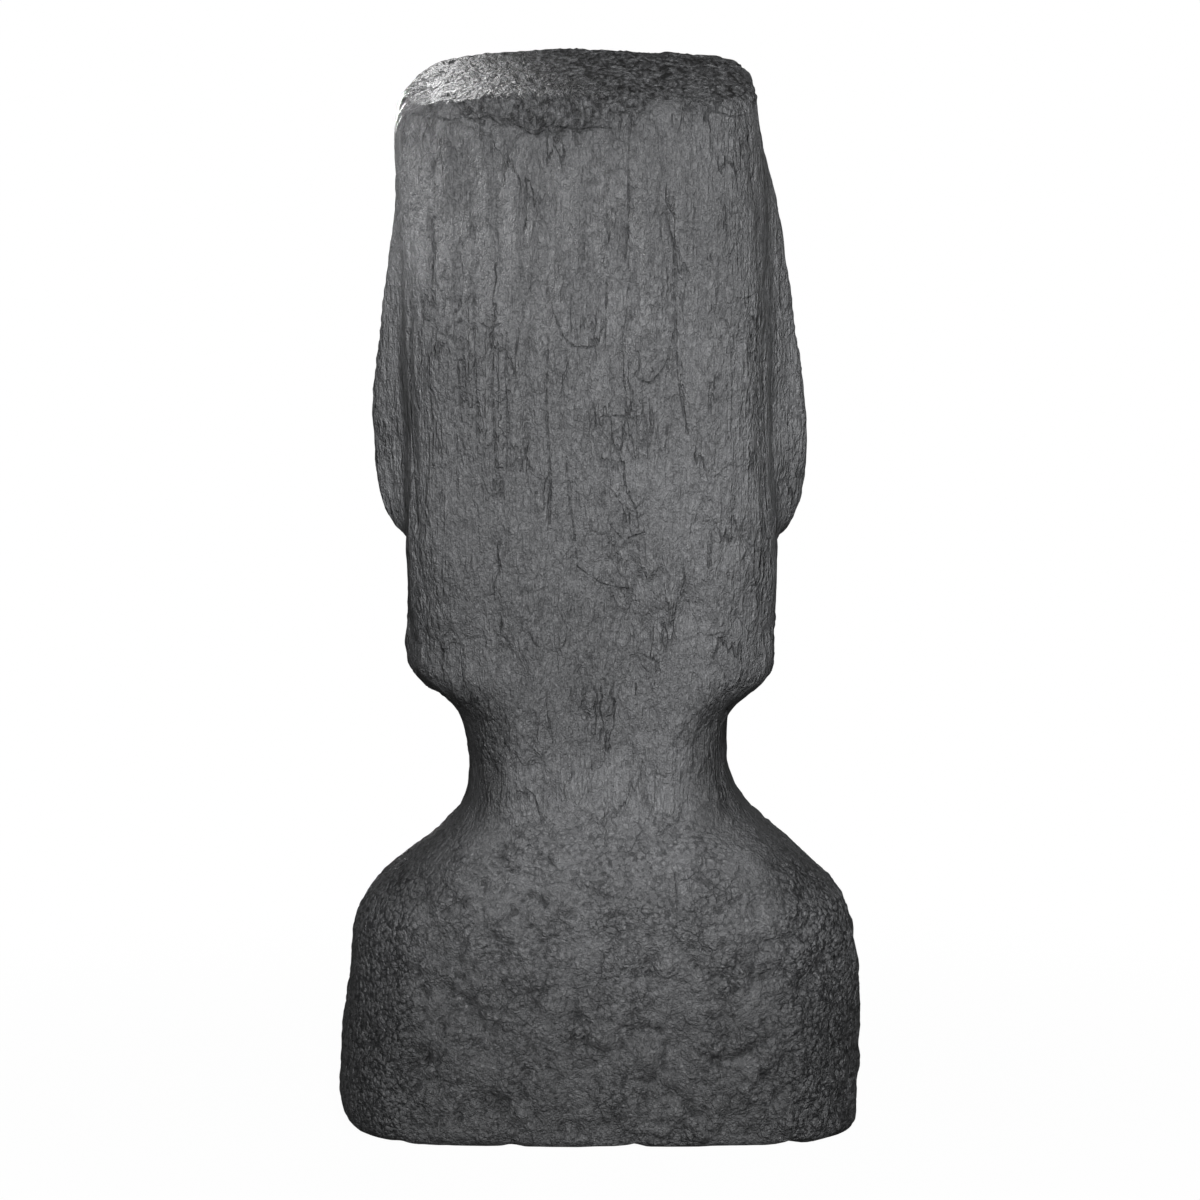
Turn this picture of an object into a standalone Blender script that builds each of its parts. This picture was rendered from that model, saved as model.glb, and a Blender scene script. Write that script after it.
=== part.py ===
# Garden moai: a hollow cast figure, modelled as its closed outer solid.
# Metres, +Z up. The face looks along -Y, the underside lies flat on Z = 0,
# and the origin is under the middle of the figure's bounding box.
# The outline as seen from the back follows the carving: +X is the side with
# the more upright crown, -X the side where the head tapers more.
import math

import bpy
import numpy as np
from mathutils import Vector, noise

# Driving sizes. Every other size of the figure is a share of one of them.
HEIGHT = 1.000
WIDTH = 0.486
DEPTH = 0.371


def share(part_of_height):
    return part_of_height * HEIGHT


def across(part_of_width):
    return part_of_width * WIDTH


def deep(part_of_depth):
    return part_of_depth * DEPTH


# Torso
BASE_HALF_WIDTH = across(0.495)
BASE_FRONT = deep(0.367)
BASE_BACK = deep(0.439)
BASE_EDGE_RADIUS = share(0.007)
BASE_CORNER_HEIGHT = share(0.034)
BASE_CORNER_PLUS_X = across(0.031)
BASE_CORNER_MINUS_X = across(0.004)
CHEST_Z = share(0.140)
CHEST_FRONT = deep(0.410)
UPPER_BACK = deep(0.447)
SHOULDER_Z = share(0.197)
SHOULDER_HALF_WIDTH = across(0.474)

# Neck
NECK_Z = share(0.328)
NECK_HALF_WIDTH = across(0.247)
NECK_FRONT = deep(0.216)
NAPE = deep(0.313)

# Head
JAW_Z = share(0.420)
JAW_HALF_WIDTH = across(0.348)
JAW_FRONT = deep(0.367)
HEAD_HALF_WIDTH = across(0.350)
HEAD_BACK = deep(0.372)
EYE_LINE_Z = share(0.690)
EYE_LINE_FRONT = deep(0.318)
CROWN_Z = share(0.965)
CROWN_HALF_WIDTH = across(0.337)
CROWN_FRONT = deep(0.307)
CROWN_BACK = deep(0.345)
CROWN_LEAN = across(0.0412)
CROWN_SLOPE = math.radians(16)
CROWN_SIDE_FALL = share(0.007)
CROWN_DOME = share(0.004)

# The rim of the crown is worn to a different roundness on each side
RIM_RADIUS_PLUS_X = share(0.036)
RIM_RADIUS_MINUS_X = share(0.008)
RIM_RADIUS_FRONT = share(0.022)
RIM_RADIUS_BACK = share(0.009)
RIM_WEAR_BACK = share(0.013)

# Ears: long slabs with a hanging lobe
EAR_TOP_Z = share(0.880)
EAR_LOBE_Z = share(0.545)
EAR_WIDEST_Z = share(0.640)
EAR_STANDS_OUT = across(0.0658)
EAR_MIDDLE_Y = deep(0.0485)
EAR_DEPTH_TOP = deep(0.283)
EAR_DEPTH_LOBE = deep(0.189)
EAR_EDGE = deep(0.0377)
EAR_HOLLOW = across(0.0288)

# Brow and eye hollows
BROW_Z = share(0.752)
BROW_HEIGHT = share(0.075)
BROW_HALF_WIDTH = across(0.305)
BROW_STANDS_OUT = deep(0.0970)
BROW_DROOP = share(0.018)
EYE_X = across(0.160)
EYE_Z = share(0.708)
EYE_HALF_WIDTH = across(0.119)
EYE_HALF_HEIGHT = share(0.046)
EYE_DEPTH = deep(0.0701)

# Nose
NOSE_TOP_Z = share(0.770)
NOSE_TIP_Z = share(0.574)
NOSE_ROOT_HALF_WIDTH = across(0.0432)
NOSE_TIP_HALF_WIDTH = across(0.0700)
NOSE_ROOT_STANDS_OUT = deep(0.0701)
NOSE_TIP_STANDS_OUT = deep(0.210)
NOSE_FLANK = across(0.0370)
NOSTRIL_X = across(0.0823)
NOSTRIL_Z = share(0.594)
NOSTRIL_RADIUS = share(0.027)
NOSTRIL_STANDS_OUT = deep(0.119)

# Mouth, chin and cheeks
MOUTH_Z = share(0.514)
MOUTH_HALF_WIDTH = across(0.169)
MUZZLE_STANDS_OUT = deep(0.0323)
LIP_HEIGHT = share(0.025)
LIP_STANDS_OUT = deep(0.0485)
CHIN_Z = share(0.440)
CHIN_HALF_WIDTH = across(0.181)
CHIN_HALF_HEIGHT = share(0.044)
CHIN_STANDS_OUT = deep(0.0916)
CHEEK_X = across(0.202)
CHEEK_Z = share(0.610)
CHEEK_RADIUS = share(0.078)
CHEEK_STANDS_OUT = deep(0.0323)

# Front of the torso
ARM_GROOVE_X = across(0.346)
ARM_GROOVE_WIDTH = across(0.0617)
ARM_GROOVE_DEPTH = deep(0.0323)
ARM_GROOVE_TOP_Z = share(0.175)
BREAST_X = across(0.160)
BREAST_Z = share(0.120)
BREAST_RADIUS = share(0.085)
BREAST_STANDS_OUT = deep(0.0270)

# Squareness of the cross-sections: 2 is an ellipse, higher is boxier
SQUARENESS = 3.5
BASE_BACK_SQUARENESS = 4.6
NAPE_SQUARENESS = 4.8
HEAD_BACK_SQUARENESS = 5.8

# Hand-cut unevenness of the large surfaces
UNEVENNESS = share(0.0035)
UNEVEN_SPACING = share(0.110)

# Facets: the columns of the front follow the nose and those of the sides the ear
NOSE_COLUMNS = (2, 1, 10)
EAR_COLUMNS = (3, 1, 5, 1, 4)
ROWS_BY_ZONE = (
    # height at the top of the zone, rows of facets in it
    (BASE_EDGE_RADIUS, 1),
    (BASE_CORNER_HEIGHT, 2),
    (SHOULDER_Z, 5),
    (NECK_Z, 6),
    (JAW_Z, 6),
    (MOUTH_Z - 1.4 * LIP_HEIGHT, 4),
    (MOUTH_Z + 1.4 * LIP_HEIGHT, 8),
    (NOSTRIL_Z, 4),
    (EYE_LINE_Z, 6),
    (BROW_Z + 0.5 * BROW_HEIGHT, 8),
    (CROWN_Z, 4),
)
RIM_ROWS = 3
COLUMNS_ACROSS = 2 * sum(NOSE_COLUMNS)
COLUMNS_DEEP = sum(EAR_COLUMNS)

# Finish
CAST_COLOUR = (0.150, 0.153, 0.158, 1.0)
CAST_ROUGHNESS = 0.55


def outline():
    """Half-width, centre, front and back of the figure at its named heights."""
    underarm_z = 0.5 * (BASE_EDGE_RADIUS + SHOULDER_Z)
    slope_z = SHOULDER_Z + 0.45 * (NECK_Z - SHOULDER_Z)
    neck_foot_z = NECK_Z - 0.22 * (NECK_Z - SHOULDER_Z)
    under_jaw_z = NECK_Z + 0.56 * (JAW_Z - NECK_Z)
    jaw_edge_z = NECK_Z + 0.85 * (JAW_Z - NECK_Z)
    shoulder_run = SHOULDER_HALF_WIDTH - NECK_HALF_WIDTH
    jaw_run = JAW_HALF_WIDTH - NECK_HALF_WIDTH
    jaw_front_run = JAW_FRONT - NECK_FRONT
    back_run = HEAD_BACK - NAPE
    return np.array(
        [
            # height, half-width, centre, front, back
            (0.0, BASE_HALF_WIDTH, 0.0, BASE_FRONT, BASE_BACK),
            (underarm_z, 0.996 * BASE_HALF_WIDTH, across(-0.006), CHEST_FRONT, UPPER_BACK),
            (CHEST_Z, 0.988 * BASE_HALF_WIDTH, across(-0.008), CHEST_FRONT, UPPER_BACK),
            (SHOULDER_Z, SHOULDER_HALF_WIDTH, across(-0.011), 0.96 * CHEST_FRONT, 0.98 * UPPER_BACK),
            (
                slope_z,
                NECK_HALF_WIDTH + 0.45 * shoulder_run,
                across(-0.013),
                0.80 * CHEST_FRONT,
                0.88 * UPPER_BACK,
            ),
            (
                neck_foot_z,
                NECK_HALF_WIDTH + 0.05 * shoulder_run,
                across(-0.006),
                1.12 * NECK_FRONT,
                1.03 * NAPE,
            ),
            (NECK_Z, NECK_HALF_WIDTH, 0.0, NECK_FRONT, NAPE),
            (
                under_jaw_z,
                NECK_HALF_WIDTH + 0.05 * jaw_run,
                across(0.007),
                NECK_FRONT + 0.10 * jaw_front_run,
                NAPE + 0.14 * back_run,
            ),
            (
                jaw_edge_z,
                NECK_HALF_WIDTH + 0.70 * jaw_run,
                across(0.005),
                NECK_FRONT + 0.75 * jaw_front_run,
                NAPE + 0.27 * back_run,
            ),
            (JAW_Z, JAW_HALF_WIDTH, across(0.009), JAW_FRONT, NAPE + 0.33 * back_run),
            (EAR_LOBE_Z, HEAD_HALF_WIDTH, across(0.014), JAW_FRONT, NAPE + 0.74 * back_run),
            (EYE_LINE_Z, 0.983 * HEAD_HALF_WIDTH, across(0.019), EYE_LINE_FRONT, HEAD_BACK),
            (
                BROW_Z + BROW_HEIGHT,
                0.983 * HEAD_HALF_WIDTH,
                0.6 * CROWN_LEAN,
                EYE_LINE_FRONT,
                0.98 * HEAD_BACK,
            ),
            (CROWN_Z, CROWN_HALF_WIDTH, CROWN_LEAN, CROWN_FRONT, CROWN_BACK),
        ]
    )


def smooth_through(heights, stations, column):
    """Monotone cubic through one column of the outline, so nothing bulges between stations."""
    z = stations[:, 0]
    value = stations[:, column]
    step = np.diff(z)
    slope = np.diff(value) / step
    tangent = np.zeros_like(value)
    for i in range(1, len(z) - 1):
        if slope[i - 1] * slope[i] > 0:
            before = 2 * step[i] + step[i - 1]
            after = step[i] + 2 * step[i - 1]
            tangent[i] = (before + after) / (before / slope[i - 1] + after / slope[i])
    tangent[0] = slope[0]
    tangent[-1] = slope[-1]
    heights = np.clip(heights, z[0], z[-1])
    i = np.clip(np.searchsorted(z, heights) - 1, 0, len(step) - 1)
    t = (heights - z[i]) / step[i]
    return (
        (2 * t**3 - 3 * t**2 + 1) * value[i]
        + (t**3 - 2 * t**2 + t) * step[i] * tangent[i]
        + (3 * t**2 - 2 * t**3) * value[i + 1]
        + (t**3 - t**2) * step[i] * tangent[i + 1]
    )


def ramp(value, start, end):
    """0 before start, 1 after end, smooth between; start may lie above end."""
    t = np.clip((value - start) / (end - start), 0, 1)
    return t * t * (3 - 2 * t)


def mound(distance):
    """1 at distance 0, falling smoothly to 0 at distance 1."""
    t = np.clip(1 - np.abs(distance), 0, 1)
    return t * t * (3 - 2 * t)


def brow(x, z):
    """An overhanging bar: a hard underside, and a slope that dies into the forehead."""
    z = z + BROW_DROOP * (x / BROW_HALF_WIDTH) ** 2
    underside = ramp(z, BROW_Z - 0.12 * BROW_HEIGHT, BROW_Z + 0.18 * BROW_HEIGHT)
    slope_above = ramp(z, BROW_Z + 1.5 * BROW_HEIGHT, BROW_Z + 0.3 * BROW_HEIGHT)
    ends = ramp(np.abs(x), 1.15 * BROW_HALF_WIDTH, 0.85 * BROW_HALF_WIDTH)
    return BROW_STANDS_OUT * underside * slope_above * ends


def eye_hollow(x, z):
    across = (np.abs(x) - EYE_X) / EYE_HALF_WIDTH
    up = (z - EYE_Z) / EYE_HALF_HEIGHT
    return -EYE_DEPTH * mound(np.hypot(across, up) ** 1.5)


def down_the_nose(z):
    """0 at the root of the nose, 1 at its tip."""
    return np.clip((NOSE_TOP_Z - z) / (NOSE_TOP_Z - NOSE_TIP_Z), 0, 1)


def nose_edges(z):
    """Half-widths of the nose on its ridge and at its foot."""
    along = down_the_nose(z) ** 1.5
    half_width = NOSE_ROOT_HALF_WIDTH + (NOSE_TIP_HALF_WIDTH - NOSE_ROOT_HALF_WIDTH) * along
    return half_width - 0.4 * NOSE_FLANK, half_width + 0.6 * NOSE_FLANK


def nose(x, z):
    """A long wedge that widens and lifts towards the tip, with a flared nostril each side."""
    along = down_the_nose(z) ** 1.3
    on_ridge, at_foot = nose_edges(z)
    lift = NOSE_ROOT_STANDS_OUT + (NOSE_TIP_STANDS_OUT - NOSE_ROOT_STANDS_OUT) * along
    underside = ramp(z, NOSE_TIP_Z - 0.35 * NOSE_FLANK, NOSE_TIP_Z + 0.65 * NOSE_FLANK)
    top = ramp(z, NOSE_TOP_Z + NOSE_FLANK, NOSE_TOP_Z - NOSE_FLANK)
    ridge = lift * ramp(np.abs(x), at_foot, on_ridge)
    wing = NOSTRIL_STANDS_OUT * mound(
        np.hypot(np.abs(x) - NOSTRIL_X, z - NOSTRIL_Z) / (1.4 * NOSTRIL_RADIUS)
    )
    return np.maximum(ridge * top, wing) * underside


def mouth(x, z):
    """Two thin lips that meet on the mouth line and turn down at the corners."""
    z = z + 0.35 * LIP_HEIGHT * (x / MOUTH_HALF_WIDTH) ** 2
    muzzle = MUZZLE_STANDS_OUT * mound(
        np.hypot(x / (1.35 * MOUTH_HALF_WIDTH), (z - MOUTH_Z) / (2.6 * LIP_HEIGHT))
    )
    ends = ramp(np.abs(x), 1.08 * MOUTH_HALF_WIDTH, 0.80 * MOUTH_HALF_WIDTH)
    upper = mound((z - MOUTH_Z - 0.55 * LIP_HEIGHT) / (0.75 * LIP_HEIGHT))
    lower = mound((z - MOUTH_Z + 0.60 * LIP_HEIGHT) / (0.80 * LIP_HEIGHT))
    return muzzle + LIP_STANDS_OUT * ends * np.maximum(upper, lower)


def chin(x, z):
    across = mound((np.abs(x) / CHIN_HALF_WIDTH) ** 1.6)
    up = mound((z - CHIN_Z) / CHIN_HALF_HEIGHT)
    return CHIN_STANDS_OUT * across * up


def cheeks(x, z):
    return CHEEK_STANDS_OUT * mound(np.hypot(np.abs(x) - CHEEK_X, z - CHEEK_Z) / CHEEK_RADIUS)


def chest(x, z):
    """Flat breasts, and a shallow groove between the upper arm and the body."""
    breast = BREAST_STANDS_OUT * mound(
        np.hypot(np.abs(x) - BREAST_X, z - BREAST_Z) / BREAST_RADIUS
    )
    groove = mound((np.abs(x) - ARM_GROOVE_X) / ARM_GROOVE_WIDTH)
    fade = ramp(z, 1.15 * ARM_GROOVE_TOP_Z, 0.75 * ARM_GROOVE_TOP_Z)
    return breast - ARM_GROOVE_DEPTH * groove * fade


def front_relief(x, z):
    """How far the carved face and chest stand out of the plain front."""
    return (
        np.maximum(brow(x, z), nose(x, z))
        + eye_hollow(x, z)
        + mouth(x, z)
        + chin(x, z)
        + cheeks(x, z)
        + chest(x, z)
    )


def ear_edges(z):
    """Depths of the ear slab: its back and front edges, at its foot and on its face."""
    up = np.clip((z - EAR_LOBE_Z) / (EAR_TOP_Z - EAR_LOBE_Z), 0, 1)
    half_depth = 0.5 * (EAR_DEPTH_LOBE + (EAR_DEPTH_TOP - EAR_DEPTH_LOBE) * up)
    return half_depth, half_depth - EAR_EDGE


def ear_relief(y, z):
    """A slab on the side of the head: it rises downwards, is hollowed, and ends in a round lobe."""
    at_foot, on_face = ear_edges(z)
    inside = ramp(np.abs(y - EAR_MIDDLE_Y), at_foot, on_face)
    below = np.clip((EAR_WIDEST_Z - z) / (EAR_WIDEST_Z - EAR_LOBE_Z), 0, 1)
    rise = ramp(z, EAR_TOP_Z + 0.4 * (EAR_TOP_Z - EAR_WIDEST_Z), EAR_WIDEST_Z)
    hollow = EAR_HOLLOW * mound(
        np.hypot(
            (y - EAR_MIDDLE_Y) / (0.38 * EAR_DEPTH_TOP),
            (z - 0.5 * (EAR_TOP_Z + EAR_WIDEST_Z)) / (0.48 * (EAR_TOP_Z - EAR_WIDEST_Z)),
        )
    )
    return inside * np.maximum(EAR_STANDS_OUT * rise * np.sqrt(1 - below**2) - hollow, 0)


def base_corner(x, z):
    """How far the worn corners of the base draw in at their side of the underside."""
    up = np.clip(z / BASE_CORNER_HEIGHT, 0, 1)
    drawn_in = np.where(x > 0, BASE_CORNER_PLUS_X, -BASE_CORNER_MINUS_X) * (1 - np.sqrt(1 - (1 - up) ** 2))
    return drawn_in * (np.abs(x) / BASE_HALF_WIDTH) ** 3


def unevenness(points):
    """Slow swells and hollows that keep the large surfaces from looking machined."""
    swell = [
        noise.noise(Vector(p) / UNEVEN_SPACING) + 0.5 * noise.noise(Vector(p) / (0.45 * UNEVEN_SPACING))
        for p in points
    ]
    return UNEVENNESS * np.array(swell)


def stepped(marks, counts):
    """Positions from mark to mark, with the given number of equal steps between each two."""
    positions = [marks[0]]
    for end, count in zip(marks[1:], counts):
        positions += list(np.linspace(positions[-1], end, count + 1)[1:])
    return np.array(positions)


def back_squareness(z):
    """The back is flatter and its corners crisper at the base, and from the shoulders up."""
    at_base = ramp(z, CHEST_Z, 0)
    at_nape = ramp(z, SHOULDER_Z, NECK_Z)
    on_head = ramp(z, JAW_Z, EAR_LOBE_Z)
    return (
        SQUARENESS
        + (BASE_BACK_SQUARENESS - SQUARENESS) * at_base
        + (NAPE_SQUARENESS - SQUARENESS) * at_nape
        + (HEAD_BACK_SQUARENESS - NAPE_SQUARENESS) * on_head
    )


def squared(t, power):
    """The superellipse: how far out it still is at the share t of its other half-axis."""
    return (1 - np.abs(t) ** power) ** (1 / power)


def plain_ring(z, half_width, front, back):
    """One closed cross-section, anticlockwise from above, starting at the back's +X corner."""
    back_power = back_squareness(z)
    back_corner = 2 ** (-1 / back_power)
    front_corner = 2 ** (-1 / SQUARENESS)
    across_back = np.linspace(back_corner, -back_corner, COLUMNS_ACROSS + 1) * half_width
    on_ridge, nose_foot = nose_edges(z)
    half_front = stepped((0, on_ridge, nose_foot, front_corner * half_width), NOSE_COLUMNS)
    across_front = np.concatenate([-half_front[::-1], half_front[1:]])
    ear_foot, ear_face = ear_edges(z)
    ear = EAR_MIDDLE_Y + np.array([ear_foot, ear_face, -ear_face, -ear_foot])
    depths = stepped((back_corner * back, *ear, -front_corner * front), EAR_COLUMNS)
    side = half_width * np.where(
        depths > 0,
        squared(depths / back, back_power),
        squared(np.minimum(depths, 0) / front, SQUARENESS),
    )
    return np.vstack(
        [
            np.column_stack([across_back, back * squared(across_back / half_width, back_power)])[:-1],
            np.column_stack([-side, depths])[:-1],
            np.column_stack([across_front, -front * squared(across_front / half_width, SQUARENESS)])[:-1],
            np.column_stack([side, depths])[:0:-1],
        ]
    )


def row_heights():
    """Heights of the rows of facets from the underside to the foot of the crown's rim."""
    heights = [0.0]
    for top, rows in ROWS_BY_ZONE:
        heights += list(np.linspace(heights[-1], top, rows + 1)[1:])
    return heights


def carved_ring(height, stations, shrink=0.0):
    """One row of the figure: the plain cross-section with the carving laid on it."""
    half_width, centre, front, back = (
        smooth_through(np.array([height]), stations, column)[0] for column in (1, 2, 3, 4)
    )
    ring = plain_ring(height, half_width - shrink, front - shrink, back - shrink)
    x, y = ring[:, 0], ring[:, 1]
    z = np.full(len(ring), height)
    facing_front = ramp(y, -0.35 * front, -0.60 * front)
    facing_side = ramp(np.abs(x), 0.55 * half_width, 0.80 * half_width)
    carved_y = y - front_relief(x, z) * facing_front
    carved_x = x + np.sign(x) * ear_relief(y, z) * facing_side - base_corner(x, z)
    out = 1 + unevenness(np.column_stack([x, y, z])) / np.hypot(x, y)
    return np.column_stack([centre + carved_x * out, carved_y * out, z])


def crown_surface(x, y):
    """Height of the sloping top of the head, before its rim is rounded."""
    highest_y = RIM_RADIUS_FRONT - CROWN_FRONT
    across = (x - CROWN_LEAN) / CROWN_HALF_WIDTH
    return HEIGHT - (y - highest_y) * math.tan(CROWN_SLOPE) - CROWN_SIDE_FALL * across**2


def outward(ring):
    """Level unit normals of a row, pointing out of the figure."""
    along = np.roll(ring, -1, axis=0) - np.roll(ring, 1, axis=0)
    normal = np.column_stack([along[:, 1], -along[:, 0]])
    return normal / np.linalg.norm(normal, axis=1)[:, None]


def rim_radius(ring, normal):
    side = np.where(normal[:, 0] > 0, RIM_RADIUS_PLUS_X, RIM_RADIUS_MINUS_X)
    worn = RIM_RADIUS_BACK + RIM_WEAR_BACK * mound(ring[:, 0] / (0.8 * CROWN_HALF_WIDTH))
    end = np.where(normal[:, 1] > 0, worn, RIM_RADIUS_FRONT)
    return side * normal[:, 0] ** 2 + end * normal[:, 1] ** 2


def rings():
    """All rows, from the flat underside to the inner edge of the crown's rounded rim."""
    stations = outline()
    rows = [carved_ring(0.0, stations, shrink=0.6 * BASE_EDGE_RADIUS)]
    rows += [carved_ring(height, stations) for height in row_heights()[1:]]
    wall = rows[-1].copy()
    normal = outward(wall)
    radius = rim_radius(wall, normal)
    rim_foot = crown_surface(wall[:, 0], wall[:, 1]) - radius
    for row in rows:
        row[:, 2] += ramp(row[:, 2], BROW_Z + 0.5 * BROW_HEIGHT, CROWN_Z) * (rim_foot - CROWN_Z)
    for i in range(1, RIM_ROWS + 1):
        angle = i / RIM_ROWS * math.radians(88)
        inward = radius * (1 - math.cos(angle))
        ring = wall.copy()
        ring[:, :2] -= inward[:, None] * normal
        ring[:, 2] = crown_surface(ring[:, 0], ring[:, 1]) - radius * (1 - math.sin(angle))
        rows.append(ring)
    return rows


def crown_patch(rim):
    """Closes the top with a grid of points between the four sides of the rim."""
    back = rim[: COLUMNS_ACROSS + 1]
    far_side = rim[COLUMNS_ACROSS : COLUMNS_ACROSS + COLUMNS_DEEP + 1]
    front = rim[COLUMNS_ACROSS + COLUMNS_DEEP : 2 * COLUMNS_ACROSS + COLUMNS_DEEP + 1][::-1]
    near_side = np.vstack([rim[2 * COLUMNS_ACROSS + COLUMNS_DEEP :], rim[:1]])[::-1]
    inner = []
    for j in range(1, COLUMNS_DEEP):
        v = j / COLUMNS_DEEP
        for i in range(1, COLUMNS_ACROSS):
            u = i / COLUMNS_ACROSS
            lengthways = (1 - v) * back[i] + v * front[i]
            crossways = (1 - u) * near_side[j] + u * far_side[j]
            corners = (1 - v) * ((1 - u) * back[0] + u * back[-1]) + v * (
                (1 - u) * front[0] + u * front[-1]
            )
            point = lengthways + crossways - corners
            point[2] += CROWN_DOME * 16 * u * (1 - u) * v * (1 - v)
            inner.append(point)
    return np.array(inner)


def crown_faces(first_rim, first_inner, around):
    """Four-sided facets of the crown, joining the inner grid to the rim."""

    def index(i, j):
        if j == 0:
            return first_rim + i
        if i == COLUMNS_ACROSS:
            return first_rim + COLUMNS_ACROSS + j
        if j == COLUMNS_DEEP:
            return first_rim + 2 * COLUMNS_ACROSS + COLUMNS_DEEP - i
        if i == 0:
            return first_rim + (around - j) % around
        return first_inner + (j - 1) * (COLUMNS_ACROSS - 1) + i - 1

    return [
        (index(i, j), index(i + 1, j), index(i + 1, j + 1), index(i, j + 1))
        for j in range(COLUMNS_DEEP)
        for i in range(COLUMNS_ACROSS)
    ]


def figure_mesh():
    rows = rings()
    around = len(rows[0])
    points = np.vstack(rows)
    faces = [tuple(range(around))[::-1]]
    for row in range(len(rows) - 1):
        for column in range(around):
            after = (column + 1) % around
            below, above = row * around, (row + 1) * around
            faces.append((below + column, below + after, above + after, above + column))
    faces += crown_faces(len(points) - around, len(points), around)
    points = np.vstack([points, crown_patch(points[-around:])])
    middle = 0.5 * (points.min(axis=0) + points.max(axis=0))
    points[:, :2] -= middle[:2]
    mesh = bpy.data.meshes.new("moai_figure")
    mesh.from_pydata(points.tolist(), [], faces)
    mesh.update()
    mesh.shade_smooth()
    return mesh


def cast_finish():
    material = bpy.data.materials.new("dark_grey_cast")
    material.use_nodes = True
    shader = material.node_tree.nodes["Principled BSDF"]
    shader.inputs["Base Color"].default_value = CAST_COLOUR
    shader.inputs["Roughness"].default_value = CAST_ROUGHNESS
    shader.inputs["Metallic"].default_value = 0.0
    return material


def main():
    for old in list(bpy.data.objects):
        bpy.data.objects.remove(old)
    figure = bpy.data.objects.new("moai_figure", figure_mesh())
    figure.data.materials.append(cast_finish())
    bpy.context.scene.collection.objects.link(figure)


main()
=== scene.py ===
import math

import bpy
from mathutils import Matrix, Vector


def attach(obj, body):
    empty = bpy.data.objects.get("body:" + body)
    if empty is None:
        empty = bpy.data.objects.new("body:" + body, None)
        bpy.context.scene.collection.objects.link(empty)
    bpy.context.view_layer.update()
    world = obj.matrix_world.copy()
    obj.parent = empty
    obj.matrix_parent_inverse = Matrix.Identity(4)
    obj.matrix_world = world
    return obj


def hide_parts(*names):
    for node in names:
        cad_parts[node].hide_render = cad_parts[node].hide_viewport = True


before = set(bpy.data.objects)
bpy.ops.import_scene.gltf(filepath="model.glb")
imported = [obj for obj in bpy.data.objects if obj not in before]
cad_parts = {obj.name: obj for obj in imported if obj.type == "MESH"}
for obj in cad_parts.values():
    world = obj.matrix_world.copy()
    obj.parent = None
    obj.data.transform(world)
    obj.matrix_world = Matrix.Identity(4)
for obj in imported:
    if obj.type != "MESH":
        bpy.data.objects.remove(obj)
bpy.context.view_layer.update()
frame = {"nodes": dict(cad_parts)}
print("frame loaded:", ", ".join(frame["nodes"]))


# Small helpers for node trees

def addNode(tree, kind, settings=None, **values):
    # one node; values are numbers, vectors or other nodes' sockets, by the socket's name or number
    node = tree.nodes.new(kind)
    for name, value in (settings or {}).items():
        setattr(node, name, value)
    for name, value in values.items():
        setInput(tree, node.inputs[name.replace("_", " ")], value)
    return node


def setInput(tree, socket, value):
    if isinstance(value, bpy.types.NodeSocket):
        tree.links.new(value, socket)
    else:
        socket.default_value = value


def calc(tree, operation, *values):
    node = tree.nodes.new("ShaderNodeMath")
    node.operation = operation
    for socket, value in zip(node.inputs, values):
        setInput(tree, socket, value)
    return node.outputs[0]


def vectorCalc(tree, operation, *values):
    node = tree.nodes.new("ShaderNodeVectorMath")
    node.operation = operation
    for socket, value in zip(node.inputs, values):
        setInput(tree, socket, value)
    return node.outputs["Vector"]


def total(tree, values):
    result = values[0]
    for value in values[1:]:
        result = calc(tree, "ADD", result, value)
    return result


def times(tree, *values):
    result = values[0]
    for value in values[1:]:
        result = calc(tree, "MULTIPLY", result, value)
    return result


def fade(tree, value, start, end, low=0.0, high=1.0):
    # low before start, high after end, smooth between; start may lie above end
    node = tree.nodes.new("ShaderNodeMapRange")
    node.interpolation_type = "SMOOTHSTEP"
    names = ("Value", "From Min", "From Max", "To Min", "To Max")
    for name, amount in zip(names, (value, start, end, low, high)):
        setInput(tree, node.inputs[name], amount)
    return node.outputs["Result"]


def byShare(tree, share, atNone, atFull):
    # one value where the share is 0, another where it is 1
    return fade(tree, share, 0.0, 1.0, atNone, atFull)


def band(tree, value, rise, fall):
    # 1 between two borders and 0 outside them; each border is a pair, from its 0 to its 1
    return times(tree, fade(tree, value, *rise), fade(tree, value, *fall))


def rest(tree, share):
    return calc(tree, "SUBTRACT", 1.0, share)


def noiseAt(tree, place, scale, detail=3.0, roughness=0.5, color=False):
    sizes = {"Vector": place, "Scale": scale, "Detail": detail, "Roughness": roughness}
    node = addNode(tree, "ShaderNodeTexNoise", **sizes)
    return node.outputs["Color" if color else 0]


def cellsAt(tree, place, scale):
    # distance to the nearest cell's middle, in cells, and a random number for each cell
    node = addNode(tree, "ShaderNodeTexVoronoi", Vector=place, Scale=scale)
    split = addNode(tree, "ShaderNodeSeparateXYZ", Vector=node.outputs["Color"])
    return node.outputs["Distance"], split.outputs[0]


def cellEdges(tree, place, scale):
    # distance to the nearest edge between two of the same cells
    node = addNode(tree, "ShaderNodeTexVoronoi", {"feature": "DISTANCE_TO_EDGE"}, Vector=place, Scale=scale)
    return node.outputs["Distance"]


def scaled(tree, vector, factor):
    node = addNode(tree, "ShaderNodeVectorMath", {"operation": "SCALE"}, Scale=factor)
    tree.links.new(vector, node.inputs[0])
    return node.outputs["Vector"]


def lengthOf(tree, vector):
    node = addNode(tree, "ShaderNodeVectorMath", {"operation": "LENGTH"})
    tree.links.new(vector, node.inputs[0])
    return node.outputs["Value"]


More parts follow.
